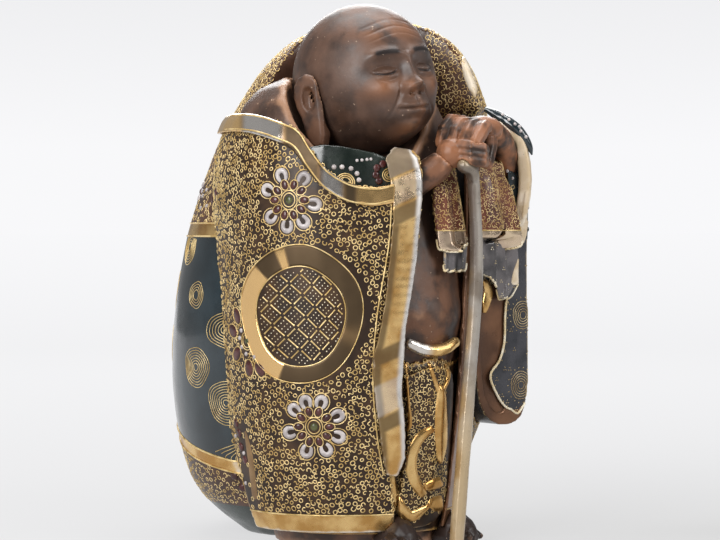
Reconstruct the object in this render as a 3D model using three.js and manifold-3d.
// Earthenware figurine: a stout monk leaning on a staff, with a sack on his back.
// Millimetres, +Z up. The figure faces -Y and +X is his left.
import * as THREE from "three";
import { mergeVertices } from "three/addons/utils/BufferGeometryUtils.js";
import Module from "manifold-3d";

const wasm = await Module();
wasm.setup();

// Overall sizes
const figureHeight = 266; // table to the crown of the head
const bodyWidth = 158; // across the robe at the shoulders
const sackWidth = 154; // across the sack at its widest
// Clay
const seam = 0.3; // luted seam between two pieces
const wall = 5; // wall of the two hollow castings
const robeThickness = 4;
const skirtThickness = 4;
const bandThickness = 2.4; // applied strips
const facetError = 0.4; // how far a facet may stand off the true form
const crumb = 0.002; // overlap that counts, in cubic millimetres
const clearingRounds = 3; // cuts after the facets are thinned
const hairline = 0.004; // clay thinner than this is taken as parted
// Parts
const headWidth = 68;
const headDepth = 76;
const headHeight = 75;
const staffRadius = 3.6;
const fingerRadius = 3.5;
const forearmRadius = 7;
const sleeveDepth = 20;
const footWidth = 20;

const tall = figureHeight / 266;
const broad = bodyWidth / 158;
const bodyCentre = new THREE.Vector2(-2, -11).multiplyScalar(broad);
const backPlane = 11 * broad; // where the sack lies against the back
const quarter = THREE.MathUtils.degToRad(-38); // the side of the right robe panel

const smoothstep = THREE.MathUtils.smoothstep;
const lerp = THREE.MathUtils.lerp;
const at = (x, y, z) => new THREE.Vector3(x * broad, y * broad, z * tall);

// Reads a table of [height, value] rows at a height.
function along(table, z) {
  let [before] = table;
  for (const row of table) {
    if (row[0] >= z) {
      const span = row[0] - before[0];
      return span > 0 ? lerp(before[1], row[1], (z - before[0]) / span) : row[1];
    }
    before = row;
  }
  return before[1];
}

// A smooth run of [x, y] rows through a few given ones.
function smooth(rows, count) {
  const curve = new THREE.SplineCurve(rows.map(([x, y]) => new THREE.Vector2(x, y)));
  return curve.getPoints(count).map((p) => [p.x, p.y]);
}

function reshape(geometry, move) {
  const places = geometry.attributes.position;
  const v = new THREE.Vector3();
  for (let i = 0; i < places.count; i += 1) {
    v.fromBufferAttribute(places, i);
    move(v);
    places.setXYZ(i, v.x, v.y, v.z);
  }
  return geometry;
}

// Turns a closed geometry into a solid that faces out.
function solid(geometry, weld = 1e-4) {
  const bare = geometry.index ? geometry.toNonIndexed() : geometry.clone();
  bare.deleteAttribute("normal");
  bare.deleteAttribute("uv");
  const welded = mergeVertices(bare, weld);
  const places = welded.attributes.position;
  const corners = [];
  const [a, b, c] = [new THREE.Vector3(), new THREE.Vector3(), new THREE.Vector3()];
  let volume = 0;
  for (let i = 0; i < welded.index.count; i += 3) {
    const [p, q, r] = [0, 1, 2].map((k) => welded.index.getX(i + k));
    if (p === q || q === r || r === p) continue;
    corners.push([p, q, r]);
    a.fromBufferAttribute(places, p);
    b.fromBufferAttribute(places, q);
    c.fromBufferAttribute(places, r);
    volume += a.dot(b.cross(c));
  }
  const facing = corners.flatMap(([p, q, r]) => (volume < 0 ? [p, r, q] : [p, q, r]));
  const triVerts = new Uint32Array(facing);
  const vertProperties = new Float32Array(places.array);
  return new wasm.Manifold(new wasm.Mesh({ numProp: 3, vertProperties, triVerts }));
}

function geometryOf(body) {
  const mesh = body.getMesh();
  const geometry = new THREE.BufferGeometry();
  geometry.setAttribute("position", new THREE.BufferAttribute(mesh.vertProperties.slice(), 3));
  geometry.setIndex(new THREE.BufferAttribute(mesh.triVerts.slice(), 1));
  return geometry;
}

// The same solid with its skin pushed out, for cutting a neighbour clear of it.
function grown(body, distance = seam * 1.6) {
  const geometry = geometryOf(body);
  geometry.computeVertexNormals();
  const [places, normals] = [geometry.attributes.position, geometry.attributes.normal];
  for (let i = 0; i < places.count; i += 1) {
    places.setXYZ(
      i,
      places.getX(i) + normals.getX(i) * distance,
      places.getY(i) + normals.getY(i) * distance,
      places.getZ(i) + normals.getZ(i) * distance,
    );
  }
  return solid(geometry);
}

// The outer body alone, without loose crumbs or sealed pockets.
const largest = (body) => body.decompose().sort((a, b) => b.volume() - a.volume())[0];
const fired = (body) => largest(solid(geometryOf(body), hairline));
const halos = new Map();
function without(body, other) {
  if (!halos.has(other)) halos.set(other, grown(other));
  return body.subtract(other).subtract(halos.get(other));
}

// Cuts a piece clear of its neighbours, thins its facets and cuts again while they still meet.
function clear(body, ...others) {
  let whole = largest(others.reduce(without, body)).simplify(facetError);
  for (let round = 0; round < clearingRounds; round += 1) {
    const touching = others.filter((other) => whole.intersect(other).volume() > crumb);
    whole = largest(touching.reduce(without, whole));
  }
  return whole;
}

// A revolved solid from [radius, height] rows, starting and ending on the axis.
function revolved(rows, segments, move = () => {}) {
  const lathe = new THREE.LatheGeometry(rows.map(([r, z]) => new THREE.Vector2(r, z)), segments);
  return solid(reshape(lathe.rotateX(Math.PI / 2), move));
}

// Moves [radius, height] rows square to their run.
function offsetRows(rows, distance) {
  return rows.map(([r, z], i) => {
    const [before, after] = [rows[Math.max(i - 1, 0)], rows[Math.min(i + 1, rows.length - 1)]];
    const run = new THREE.Vector2(after[0] - before[0], after[1] - before[1]).normalize();
    return [Math.max(r + run.y * distance, 0), z - run.x * distance];
  });
}

// A round limb along a curve, with domed ends and a radius that follows the given ones.
function limb(points, radii, segments = 10, rows = 8, flat = 1) {
  const curve = new THREE.CatmullRomCurve3(points, false, "centripetal");
  const length = curve.getLength();
  const girth = radii.map((r, i) => [(i / (radii.length - 1)) * length, r]);
  const [first, last] = [radii[0], radii[radii.length - 1]];
  const stops = [0, 0.4 * first];
  for (let i = 0; i <= rows; i += 1) stops.push(lerp(first, length - last, i / rows));
  stops.push(length - 0.4 * last, length);
  const profile = stops.map((s) => {
    const start = Math.min(s / first, 1);
    const end = Math.min((length - s) / last, 1);
    const dome = Math.sqrt(Math.max(0, 1 - (1 - Math.min(start, end)) ** 2));
    return [along(girth, s) * dome, s];
  });
  profile[0][0] = 0;
  profile[profile.length - 1][0] = 0;
  const steps = 80;
  const frames = curve.computeFrenetFrames(steps, false);
  return revolved(profile, segments, (v) => {
    const t = THREE.MathUtils.clamp(v.z / length, 0, 1);
    const k = Math.round(t * steps);
    const place = curve.getPointAt(t);
    place.addScaledVector(frames.normals[k], v.x);
    place.addScaledVector(frames.binormals[k], v.y * flat);
    v.copy(place);
  });
}

function ellipsoid(centre, radii, segments = 16) {
  const ball = new THREE.SphereGeometry(1, segments, Math.round(segments * 0.7));
  return solid(ball.scale(...radii).translate(centre.x, centre.y, centre.z));
}

// An outline drawn as seen from an azimuth, run through from far to near.
function cutout(azimuth, outline, far, near) {
  const shape = new THREE.Shape(outline.map(([x, y]) => new THREE.Vector2(x, y)));
  const block = new THREE.ExtrudeGeometry(shape, { depth: near - far, bevelEnabled: false });
  const right = new THREE.Vector3(Math.cos(azimuth), Math.sin(azimuth), 0);
  const toward = new THREE.Vector3(Math.sin(azimuth), -Math.cos(azimuth), 0);
  const frame = new THREE.Matrix4().makeBasis(right, new THREE.Vector3(0, 0, 1), toward);
  return solid(block.translate(0, 0, far).applyMatrix4(frame));
}

const scaled = (rows) => rows.map(([x, z]) => [x * broad, z * tall]);
const seen = (azimuth, rows, far, near) => cutout(azimuth, scaled(rows), far, near);

function block(x0, x1, y0, y1, z0, z1) {
  const box = new THREE.BoxGeometry(x1 - x0, y1 - y0, z1 - z0);
  return solid(box.translate((x0 + x1) / 2, (y0 + y1) / 2, (z0 + z1) / 2));
}

// Hanging cloth: a thick sheet with folds that open towards its hem.
function drape(width, drop, thickness, folds, depth, flare, place, turn) {
  const sheet = new THREE.BoxGeometry(width, thickness, drop, folds * 4, 2, 5);
  reshape(sheet, (v) => {
    const down = 0.5 - v.z / drop;
    const across = v.x / width;
    const wave = across * folds * 2 * Math.PI;
    v.y *= 1 - 0.5 * (2 * across) ** 4;
    v.y += depth * Math.cos(wave) * (0.35 + 0.65 * down) + 0.3 * width * across * across;
    v.z += depth * 0.45 * Math.cos(wave) * down;
    v.x *= 1 - flare * 0.5 + flare * down;
  });
  return solid(sheet.rotateZ(turn).translate(place.x, place.y, place.z - drop / 2));
}

// Body: one family of rings, so that the casting, skirt, robe and strips nest.
const robeFlank = [[62, 8.5], [68, 29], [73, 64], [75.5, 100], [77, 140], [77.5, 178]];
const robeShoulder = [[74, 199], [68, 211], [56, 220]];
const robeRows = scaled(smooth([...robeFlank, ...robeShoulder], 12));
const legRows = scaled([[46, 0], [48, 8], [53, 30], [57, 64], [59, 88]]);
const shoulderRows = scaled([[62, 217], [54.5, 225], [42, 230.5], [20, 233]]);
const bodyTop = 233.5 * tall;
const waistHeight = 97 * tall;
const shoulderHeight = 207 * tall; // where the bare shoulder leaves the robe's rings
const robeFront = 0.78; // depth of the robe's front half for its width
const bellyDepths = [[0, 0.86], [88, 0.86], [100, 0.81], [116, 0.79], [132, 0.74]];
const chestDepths = [[150, 0.67], [172, 0.6], [205, 0.6], [238, 0.7]];
const bodyFront = [...bellyDepths, ...chestDepths].map(([z, k]) => [z * tall, k]);

// Bends a revolved ring to the body's plan.
function bodyPlan(front) {
  return (v) => {
    const [across, height] = [v.x / broad, v.z / tall];
    const leftSide = smoothstep(across, 4, 40);
    const low = 1 - smoothstep(height, 40, 76);
    const forward = v.y < 0 ? front(v.z) : 1;
    v.y *= forward * (v.y < 0 ? 1 - 0.2 * leftSide : 1);
    v.x *= 1 - 0.22 * leftSide * low;
    v.z -= 26 * tall * smoothstep(across, 8, 36) * smoothstep(height, 196, 236);
    v.x += bodyCentre.x;
    v.y += bodyCentre.y;
  };
}
const robePlan = bodyPlan(() => robeFront);
const castingPlan = bodyPlan((z) => along(bodyFront, z));

// The whole robe form out to a distance from its outside, down to a floor.
function robeForm(distance, floor) {
  const rows = offsetRows(robeRows, distance);
  const top = rows[rows.length - 1];
  rows[0][1] = floor;
  return revolved([[0, floor], ...rows, [0, top[1] + 5 * tall]], 36, robePlan);
}
const hem = robeRows[0][1];
const robeSkin = (from, to) => robeForm(to, hem).subtract(robeForm(from, hem - 5));

const underRobe = offsetRows(robeRows, -robeThickness - seam);
const castingRows = [
  ...legRows,
  ...underRobe.filter(([, z]) => z > waistHeight && z < shoulderHeight),
  ...shoulderRows,
];
const hollowTop = 206 * tall;
const insideBody = offsetRows(castingRows, -wall).filter((row, i) => i % 2 === 1);
const innerRows = insideBody.filter(([, z]) => z > 1 && z < hollowTop - wall);
const hollowRows = [[legRows[0][0] - wall, -2], ...innerRows];

// Head: a ball shaped in its own frame, facing -Y. Each mark pulls the clay near a place by a shift.
const headPlace = at(-16.4, -24.2, 228.5);
const headTurn = new THREE.Euler(...[-5, -6, -4].map(THREE.MathUtils.degToRad));
const mark = (place, reach, shift, pair = false) => ({ place, reach, shift, pair });
const faceMarks = [
  mark([0.5, -0.8, 0.16], [0.42, 0.4, 0.14], [0, -1.6, 0.3], true), // brow
  mark([0.4, -0.88, -0.02], [0.28, 0.3, 0.14], [0, 3, 0], true), // eye hollow
  mark([0.4, -0.82, -0.03], [0.2, 0.3, 0.1], [0, -2.2, 0], true), // closed lid
  mark([0, -0.98, 0.02], [0.15, 0.3, 0.3], [0, -3.6, 0]), // bridge of the nose
  mark([0, -0.98, -0.27], [0.2, 0.3, 0.17], [0, -6.5, 0]), // tip of the nose
  mark([0.17, -0.94, -0.3], [0.12, 0.2, 0.1], [0.6, -3, 0], true), // wing of the nose
  mark([0.52, -0.7, -0.3], [0.36, 0.4, 0.3], [1.4, -2.4, 0], true), // cheek
  mark([0, -0.88, -0.56], [0.36, 0.3, 0.2], [0, -2.6, 0]), // mouth mound
  mark([0, -0.9, -0.57], [0.26, 0.3, 0.05], [0, 1.8, 0]), // line of the mouth
  mark([0, -0.66, -0.84], [0.36, 0.4, 0.2], [0, -4.5, -0.5]), // chin
  mark([0.8, -0.3, -0.55], [0.4, 0.5, 0.35], [2, -1, -1], true), // jowl
  mark([0, 0.9, 0.2], [0.7, 0.4, 0.6], [0, 1.5, 0]), // back of the skull
];

function markedHead(v, radii) {
  const unit = v.clone();
  v.multiply(radii);
  for (const { place, reach, shift, pair } of faceMarks) {
    for (const side of pair ? [1, -1] : [1]) {
      const [x, y, z] = place;
      const [rx, ry, rz] = reach;
      const far = Math.hypot((unit.x - x * side) / rx, (unit.y - y) / ry, (unit.z - z) / rz);
      if (far >= 1) continue;
      const pull = (1 - far * far) ** 2;
      v.x += shift[0] * side * pull;
      v.y += shift[1] * pull;
      v.z += shift[2] * pull;
    }
  }
}

const headMatrix = new THREE.Matrix4().makeRotationFromEuler(headTurn).setPosition(headPlace);
const headRadii = new THREE.Vector3(headWidth, headDepth, headHeight).multiplyScalar(0.5);
const headBall = new THREE.SphereGeometry(1, 24, 18).rotateX(Math.PI / 2);
reshape(headBall, (v) => markedHead(v, headRadii));
const head = solid(headBall.applyMatrix4(headMatrix));
const nestBall = new THREE.SphereGeometry(1.03, 20, 15).scale(...headRadii.toArray());
const headNest = solid(nestBall.applyMatrix4(headMatrix));

// Ear: a pressed leaf with a long lobe and a hollowed bowl.
const earTop = [[3, 12], [-2, 15], [-8, 12], [-9.5, 4]];
const earLobe = [[-6.5, -5], [-5, -14], [-1.5, -19], [2, -16], [2.6, -6], [3.4, 3], [3, 12]];
const earOutline = smooth([...earTop, ...earLobe], 18);
function ear(side) {
  const shape = new THREE.Shape(earOutline.map(([x, y]) => new THREE.Vector2(x, y)));
  const edge = { bevelThickness: 1.2, bevelSize: 1.2, bevelSegments: 1 };
  const leaf = new THREE.ExtrudeGeometry(shape, { depth: 5, ...edge });
  const bowl = ellipsoid(new THREE.Vector3(-2, 4, 7.4), [4.2, 7, 4], 10);
  const pressed = geometryOf(solid(leaf).subtract(bowl)).rotateY(THREE.MathUtils.degToRad(24));
  const frame = new THREE.Matrix4().makeBasis(
    new THREE.Vector3(0, -1, 0),
    new THREE.Vector3(0, 0, 1),
    new THREE.Vector3(-1, 0, 0),
  );
  frame.setPosition(-headRadii.x + 4.6, -5, -11);
  pressed.applyMatrix4(frame);
  pressed.scale(-side, 1, 1);
  return clear(solid(pressed.applyMatrix4(headMatrix)), head);
}
const rightEar = ear(-1);
const leftEar = ear(1);

// Staff: a gnarled stick that stands on the table, with a short crook under the hands.
const staffFoot = [[2.5, -75, 0], [6.5, -75, 40], [10.5, -75, 78], [14.2, -75, 113]];
const staffTop = [[15.2, -75.5, 142], [13.4, -75, 182], [12, -74, 200]];
const staffLine = [...staffFoot, ...staffTop].map((p) => at(...p));
const knots = [1.08, 1.2, 1.1, 1.18, 1.06, 1.02, 0.94, 0.92, 0.84, 0.82, 0.8];
const crookLine = [[13.6, -75.5, 178], [10, -77, 185], [2, -77.5, 187]].map((p) => at(...p));
const crook = limb(crookLine, [0.82, 0.98, 0.94].map((k) => k * staffRadius), 8, 4);
const groundDown = 0.8; // off the rounded tip, so that it stands flat
const staff = limb(staffLine, knots.map((k) => k * staffRadius), 10, 16)
  .add(crook)
  .intersect(block(-500, 500, -500, 500, groundDown, 500))
  .translate(0, 0, -groundDown);

// Hands: fingers are limbs joined to a palm. The left one lies over the right.
function hand(palm, fingers) {
  const limbs = fingers.map(([points, radii]) => limb(points.map((p) => at(...p)), radii, 7, 3));
  return limbs.reduce((whole, finger) => whole.add(finger), palm).simplify(facetError);
}
const thick = (...shares) => shares.map((k) => k * fingerRadius);
const leftFingers = [0, 1, 2, 3].map((i) => [
  [
    [22.5 + i, -59 - 4 * i, 206 - 0.6 * i],
    [14.5 + 1.8 * i, -60 - 5 * i, 209 - 1.4 * i],
    [7 + 2.4 * i, -61 - 5.8 * i, 204 - 1.3 * i],
    [3.3 + 1.8 * i, -62 - 6 * i, 194.5],
  ],
  thick(1.15, 1.1, 1, 0.85),
]);
const leftThumb = [[[29, -69, 201], [25.5, -73, 195], [21, -75.5, 184.5]], thick(1.2, 1.05, 0.9)];
const leftHand = clear(
  hand(ellipsoid(at(28, -64, 204.5), [12, 9.5, 6.5], 12), [...leftFingers, leftThumb]),
  staff,
);
const rightFingers = [0, 1, 2].map((i) => [
  [[5, -71, 196 - 3 * i], [8, -80, 195 - 3.1 * i], [15, -81.5, 194 - 3.1 * i], [19, -76, 193.5 - 3 * i]],
  thick(1, 0.95, 0.9, 0.75),
]);
const rightHand = clear(hand(ellipsoid(at(5, -69, 192), [8, 7.5, 7.5], 12), rightFingers), leftHand, staff);

// Hollow sack: an egg that leans towards the left shoulder, with a flat front against the back.
const sackStretch = sackWidth / 154;
const sackFoot = [[34, 0], [51, 13], [61.5, 26], [67.5, 44], [72, 70], [76.5, 102], [77.3, 140]];
const sackCrown = [[75, 176], [70, 203], [58, 231], [49, 244], [36.5, 255], [17, 261.5]];
const sackTop = 263 * tall;
const sackRows = smooth([...sackFoot, ...sackCrown], 17).map(([r, z]) => [r * sackStretch, z * tall]);
function sackPlan(inset) {
  return (v) => {
    const height = v.z / tall;
    const lean = THREE.MathUtils.clamp((height - 70) / 180, 0, 1.15);
    const aside = 4.7 * smoothstep(height, 138, 205); // the crown's turn towards the left shoulder
    v.x = v.x * 1.03 + (lerp(-2, 18, lean) + aside) * broad;
    v.y = v.y * 0.96 + lerp(34, 16, lean) * broad;
    const across = v.x / broad;
    const overShoulder = smoothstep(across, 24, 58) * smoothstep(height, 186, 214);
    const behindHead = smoothstep(height, 180, 205) * (1 - smoothstep(across, 16, 40));
    const front = backPlane + (9 * behindHead - 54 * overShoulder) * broad + inset;
    if (v.y < front) v.y = front + (v.y - front) * 0.06;
  };
}
const sackSolid = revolved([[0, 0], ...sackRows, [0, sackTop]], 36, sackPlan(0));
const insideSack = offsetRows(sackRows, -wall);
const sackHollowRows = insideSack.filter(([, z], i) => i % 2 === 0 && z < sackTop - wall - 3);
sackHollowRows[0] = [sackRows[0][0] - wall, -2];
const sackHollow = revolved([[0, -2], ...sackHollowRows, [0, sackTop - wall - 1]], 22, sackPlan(wall));
const sack = clear(sackSolid.subtract(sackHollow), headNest, rightEar, leftEar);
const sackBulk = grown(sackSolid);

// Hollow body casting: bare shoulder, chest and belly above, plain legs below.
const bodyBack = backPlane - 3.6;
const bodySolid = revolved([[0, 0], ...castingRows, [0, bodyTop]], 36, castingPlan);
const behind = (y) => block(-500, 500, y, 500, -500, 500);
const chestRadii = [40 * broad, 40 * broad, 46 * tall];
const chestDip = (more) => ellipsoid(at(-30, -46, 229), chestRadii.map((r) => r + more), 20);
const bodyHollow = revolved([[0, -2], ...hollowRows, [0, hollowTop]], 14, castingPlan)
  .subtract(chestDip(wall))
  .subtract(behind(bodyBack - wall));
const bodyForm = bodySolid.subtract(chestDip(0));
const torso = clear(bodyForm.subtract(largest(bodyHollow)), sackSolid, head, rightEar, leftEar);

// Arms, from a wrist at one end to the sleeve at the other
function forearm(points, girths) {
  return limb(points.map((p) => at(...p)), girths.map((k) => k * forearmRadius), 12, 6);
}
const rightForearm = clear(
  forearm([[-22, -53, 170], [-8, -62, 180], [4, -69, 190]], [1.15, 1.05, 0.95]),
  bodyForm, rightHand, leftHand, staff,
);
const leftForearm = clear(
  forearm([[35, -62, 204], [49, -55, 197], [62, -45, 178]], [0.94, 1.02, 1.15]),
  leftHand, head,
);

// Inner sleeves and their frills, hanging below the wrists
const rightInnerCuff = clear(
  drape(20 * broad, 36 * tall, 4.4, 2, 1.3, 0.15, at(6.5, -64.5, 184), 0.1),
  rightForearm, rightHand, leftHand, bodyForm, staff, leftForearm,
);
const leftInnerCuff = clear(
  drape(33 * broad, 40 * tall, 5.4, 2, 2.2, 0.25, at(39, -62, 188), 0.35),
  leftForearm, leftHand, staff, rightInnerCuff, bodyForm,
);
const rightFrill = clear(
  drape(17 * broad, 16 * tall, 3.2, 3, 1.2, 0.1, at(7.5, -64, 151), 0.1),
  rightInnerCuff, bodyForm, staff, leftInnerCuff,
);
const leftFrill = clear(
  drape(32 * broad, 34 * tall, 4, 3, 2, 0.3, at(41, -60, 152), 0.35),
  leftInnerCuff, rightFrill, bodyForm, staff,
);

// Left sleeve: an upper sleeve over the shoulder and a hanging bag with an open mouth.
const bagInside = [[34, 172], [32, 130], [31, 92], [34, 68], [44, 58]];
const bagOutside = [[57, 58], [64, 67], [66, 92], [65, 140], [66, 186], [54, 196], [34, 172]];
const bagOutline = smooth([...bagInside, ...bagOutside], 26);
const mouthInside = [[35.5, 122], [34.5, 98], [37, 73], [45, 63.5]];
const mouthOutside = [[51, 68], [52, 92], [50, 122], [43, 128], [35.5, 122]];
const mouthOutline = smooth([...mouthInside, ...mouthOutside], 20);
const bagFront = -57 * broad;
const bag = seen(0, bagOutline, -bagFront - sleeveDepth, -bagFront);
const mouth = seen(0, mouthOutline, -bagFront - sleeveDepth * 0.55, -bagFront + 20);
const upperLine = [[44, 0, 192], [56, -24, 192.5], [63, -44, 185]].map((p) => at(...p));
const upperSleeve = limb(upperLine, [19, 18, 16].map((r) => r * broad), 16, 5);
const sleeveForm = bag.add(upperSleeve);
const leftSleeve = clear(
  sleeveForm.subtract(mouth),
  sackSolid, leftForearm, leftInnerCuff, leftFrill, bodyForm, head, leftEar, leftHand, rightFrill,
);

// Left cuff: the gilt edge of the sleeve's mouth, an upright oval ring round the forearm.
function cuffRing() {
  const shape = new THREE.Shape().absellipse(0, 0, 13 * broad, 29 * tall, 0, Math.PI * 2);
  shape.holes.push(new THREE.Path().absellipse(0, 0, 8.6 * broad, 24 * tall, 0, Math.PI * 2));
  const edge = { bevelThickness: 0.8, bevelSize: 0.8, bevelSegments: 1 };
  const ring = new THREE.ExtrudeGeometry(shape, { depth: 4, curveSegments: 11, ...edge });
  const across = new THREE.Vector3(0.62, -0.785, 0).normalize();
  const up = new THREE.Vector3(0, 0, 1);
  const frame = new THREE.Matrix4().makeBasis(across, up, new THREE.Vector3().crossVectors(across, up));
  return solid(ring.applyMatrix4(frame.setPosition(at(56, -50, 180))));
}
const cuffRaw = cuffRing();
const leftCuff = clear(cuffRaw, leftForearm, leftInnerCuff, leftFrill, leftSleeve, leftHand, bodyForm);

// Robe: one skin cut by its neckline, front opening, back edge and the sack.
const neckBack = [[-95, 210], [-67, 212], [-50, 211], [-36, 206.5], [-28, 202.5]];
const neckDip = [[-22, 193.5], [-14, 183.5], [-3, 177], [9, 175.2], [18.7, 177]];
const neckline = smooth([...neckBack, ...neckDip], 18);
const lapelTop = [[18.2, 190], [18.7, 175], [16.9, 147], [11.3, 113]];
const lapelOuter = smooth([...lapelTop, [9.5, 83], [11.5, 56], [14.5, 37]], 12);
const lapelHigh = [[27, 193.5], [31.5, 185], [30.5, 160], [27.3, 132], [23.2, 110]];
const lapelLow = [[20.4, 88], [18.6, 66], [18, 48], [16.8, 36]];
const lapelInner = smooth([...lapelHigh, ...lapelLow], 14);
const rightHalf = block(-500, 4 * broad, -500, 500, -500, 500);
const leftHalf = block(4 * broad, 500, -500, 500, -500, 500);
const aboveRows = [[18.2, 190], [27, 193.5], [70, 193.5], [70, 300], [-95, 300]];
const aboveNeck = seen(quarter, [...neckline, ...aboveRows], -130, 200);
const pastRows = [[300, 300], [30, 300], ...lapelInner, [18, 20], [20, -20], [300, -20]];
const pastLapel = seen(quarter, pastRows, -40, 200);
const backLine = smooth([[-62, 300], [-56, 215], [-30, 158], [-17, 110], [-15, 70], [-5, 38], [2, -5]], 12);
const backEdge = seen(-Math.PI / 2, [[-300, 300], ...backLine, [-300, -5]], -200, 200);
const robeWhole = robeSkin(-robeThickness, 0).subtract(sackBulk);
const robeRight = clear(
  robeWhole.intersect(rightHalf).subtract(aboveNeck).subtract(pastLapel).subtract(backEdge),
  rightForearm, head, rightEar, bodyForm,
);
const openingLine = smooth([[6, -10], [9, 12], [13, 62], [19, 122], [20, 170], [22, 215]], 8);
const leftOpening = seen(0, [...openingLine, [-300, 215], [-300, -10]], -20, 300);
const aboveLeft = block(-500, 500, -500, 500, 205 * tall, 500);
const robeLeft = clear(
  robeWhole.intersect(leftHalf).subtract(leftOpening).subtract(backEdge).subtract(aboveLeft),
  sleeveForm, leftForearm, leftInnerCuff, leftFrill, rightFrill, rightInnerCuff, cuffRaw, staff,
  bodyForm, leftHand, head, leftEar,
);

// Applied gilt strips on the robe
const stripSkin = robeSkin(seam, seam + bandThickness).intersect(rightHalf);
const lowerNeckline = [...neckline].reverse().map(([x, z], i) => [x - 3 * smoothstep(i, 2, 10), z - 9]);
const lapelOutline = [...lapelOuter, ...[...lapelInner].reverse(), [22.5, 194.5]];
const lapel = clear(
  stripSkin.intersect(seen(quarter, lapelOutline, 0, 200)),
  rightForearm, head, rightHand,
);
const neckOutline = seen(quarter, [...neckline, ...lowerNeckline], 0, 200);
const neckBand = clear(
  stripSkin.intersect(neckOutline).subtract(sackBulk).subtract(backEdge),
  lapel, head, rightEar,
);

// Under-robe in the neckline, between the robe and the chest
const collarDepth = -robeThickness - seam;
const collarThickness = 3;
const collarSkin = robeForm(collarDepth, 150 * tall)
  .subtract(robeForm(collarDepth - collarThickness, 140 * tall));
const collarRows = [[-32, 178], [-25, 193], [-14, 195.5], [0, 193.5], [14, 190], [22, 183], [26, 168]];
const collarOutline = smooth(collarRows, 10);
const underCollar = clear(
  collarSkin.intersect(rightHalf).intersect(seen(quarter, [...collarOutline, [0, 165]], 0, 200)),
  head, rightEar, bodyForm, rightForearm,
);

// Lower garment: a pleated skin on the legs and a front flap with a rounded corner
const pleatCount = 14;
const pleatDepth = 1.1;
const pleatFade = [-10, 60]; // heights over which the pleats open
const skirtTop = 93.5 * tall;
function pleat(v) {
  return pleatDepth * Math.cos(Math.atan2(v.x, -v.y) * pleatCount) * smoothstep(v.z, ...pleatFade);
}
function skirtForm(distance, floor, pleats) {
  const rows = legRows.slice(1).map(([r, z]) => [r + distance, z]);
  rows[0][1] = floor;
  rows.push([legRows[4][0] + distance, skirtTop]);
  return revolved([[0, floor], ...rows, [0, skirtTop]], 42, (v) => {
    const far = Math.hypot(v.x, v.y);
    if (far > 1) v.addScaledVector(new THREE.Vector3(v.x, v.y, 0), (pleats * pleat(v)) / far);
    castingPlan(v);
  });
}
const skirtHem = 7 * tall;
const skirtOutside = skirtForm(seam + skirtThickness - 1.2, skirtHem, 1);
const skirt = clear(
  skirtOutside
    .subtract(skirtForm(seam, skirtHem - 4, 0))
    .subtract(behind(bodyBack)),
  bodyForm, robeRight, robeLeft, sleeveForm, staff,
);
const flapRight = [[-20, 84], [-17, 60], [-19, 30], [-16, 12], [-4, 10]];
const flapLeft = [[7, 16], [11, 36], [11, 62], [9, 84], [-6, 88], [-20, 84]];
const flapOutline = smooth([...flapRight, ...flapLeft], 26);
const skirtFlap = clear(
  skirtForm(seam * 2 + skirtThickness + bandThickness, skirtHem, 0.5)
    .subtract(skirtForm(seam * 2 + skirtThickness - 1.2, skirtHem - 4, 1))
    .intersect(seen(0, flapOutline, 20, 200)),
  skirt, bodyForm, robeRight, robeLeft, staff, lapel,
);

// Rolled edge under the belly
const rollPlace = { seat: 2.5, lowest: -4, sag: 0.02, depth: 55.5, width: 62 };
const rollLine = [-20, -12, -4, 4, 12].map((x) => {
  const rise = rollPlace.sag * (x - rollPlace.lowest) ** 2;
  const round = Math.sqrt(1 - (x / rollPlace.width) ** 2);
  const place = at(x, bodyCentre.y / broad - rollPlace.depth * round, rise);
  return place.setZ(place.z + skirtTop + rollPlace.seat);
});
const waistRoll = clear(
  limb(rollLine, [2.6, 3, 3.1, 3, 2.6], 8, 10),
  bodyForm, skirt, robeRight, robeLeft, skirtFlap, lapel, staff,
);

// Feet: a sole with five toes, flat on the table
const footLength = 38;
const footForward = -50 * broad;
const aboveTable = block(-500, 500, -500, 500, 0, 500);
function foot(x, turn) {
  const half = footWidth / 2;
  const sole = ellipsoid(new THREE.Vector3(0, 0, 4), [half, footLength / 2, 12.5], 12);
  const toes = [0, 1, 2, 3, 4].map((i) => {
    const across = lerp(-0.76, 0.74, i / 4) * half;
    const size = i === 0 ? 3.3 : 2.7 - 0.16 * i;
    const tip = -footLength / 2 + Math.abs(i - 1) * 1.3;
    const line = [[across, -9, 6], [across, tip + 3, 5], [across, tip - 1.5, 3]];
    return limb(line.map((p) => new THREE.Vector3(...p)), [size, size, size], 5, 1);
  });
  const whole = toes.reduce((all, toe) => all.add(toe), sole).rotate(0, 0, turn);
  return whole.translate(x * broad, footForward, 0).intersect(aboveTable).simplify(facetError);
}
const legs = [bodyForm, skirtOutside, skirtFlap, robeRight, robeLeft, staff, lapel];
const rightFoot = clear(foot(-17, -10), ...legs);
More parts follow.
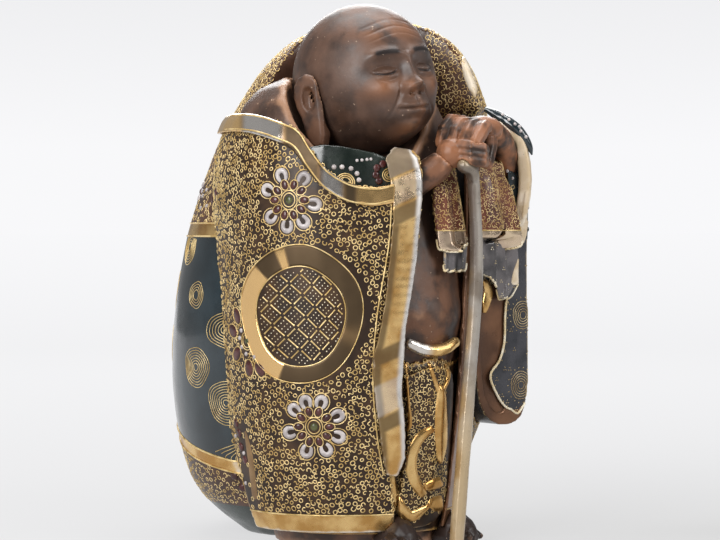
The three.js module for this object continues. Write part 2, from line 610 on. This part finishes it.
const leftFoot = clear(foot(18.5, 4), ...legs);

// Finishes
function finish(color, roughness, metalness = 0) {
  return new THREE.MeshStandardMaterial({ color, roughness, metalness });
}
const skin = finish(0x4a3328, 0.55);
const brocade = finish(0x3a2512, 0.4);
const gilt = finish(0xc9a24e, 0.28, 0.8);
const sackGlaze = finish(0x17272a, 0.25);
const innerGlaze = finish(0x5c2a1e, 0.4);
const blueGlaze = finish(0x3a4752, 0.3);
const sleeveGlaze = finish(0x4a4f57, 0.35);
const darkGlaze = finish(0x1c1f1a, 0.35);
const staffGlaze = finish(0xb7a684, 0.35, 0.3);

const figurine = new THREE.Group();
figurine.name = "figurine";
const pieces = {
  sack: [sack, sackGlaze],
  torso: [torso, skin],
  skirt: [skirt, brocade],
  skirt_flap: [skirtFlap, gilt],
  waist_roll: [waistRoll, gilt],
  robe_right: [robeRight, brocade],
  robe_left: [robeLeft, brocade],
  lapel: [lapel, gilt],
  neck_band: [neckBand, gilt],
  under_collar: [underCollar, darkGlaze],
  head: [head, skin],
  right_ear: [rightEar, skin],
  left_ear: [leftEar, skin],
  right_forearm: [rightForearm, skin],
  right_hand: [rightHand, skin],
  left_forearm: [leftForearm, skin],
  left_hand: [leftHand, skin],
  left_sleeve: [leftSleeve, sleeveGlaze],
  left_cuff: [leftCuff, gilt],
  right_inner_cuff: [rightInnerCuff, innerGlaze],
  left_inner_cuff: [leftInnerCuff, innerGlaze],
  right_frill: [rightFrill, blueGlaze],
  left_frill: [leftFrill, blueGlaze],
  staff: [staff, staffGlaze],
  right_foot: [rightFoot, skin],
  left_foot: [leftFoot, skin],
};
for (const [name, [body, material]] of Object.entries(pieces)) {
  const mesh = new THREE.Mesh(geometryOf(fired(fired(body))), material);
  mesh.name = name;
  figurine.add(mesh);
}

// The origin is the middle of the footprint, on the table.
const bounds = new THREE.Box3().setFromObject(figurine);
const middle = bounds.getCenter(new THREE.Vector3());
figurine.position.set(-middle.x, -middle.y, -bounds.min.z);

export default figurine;
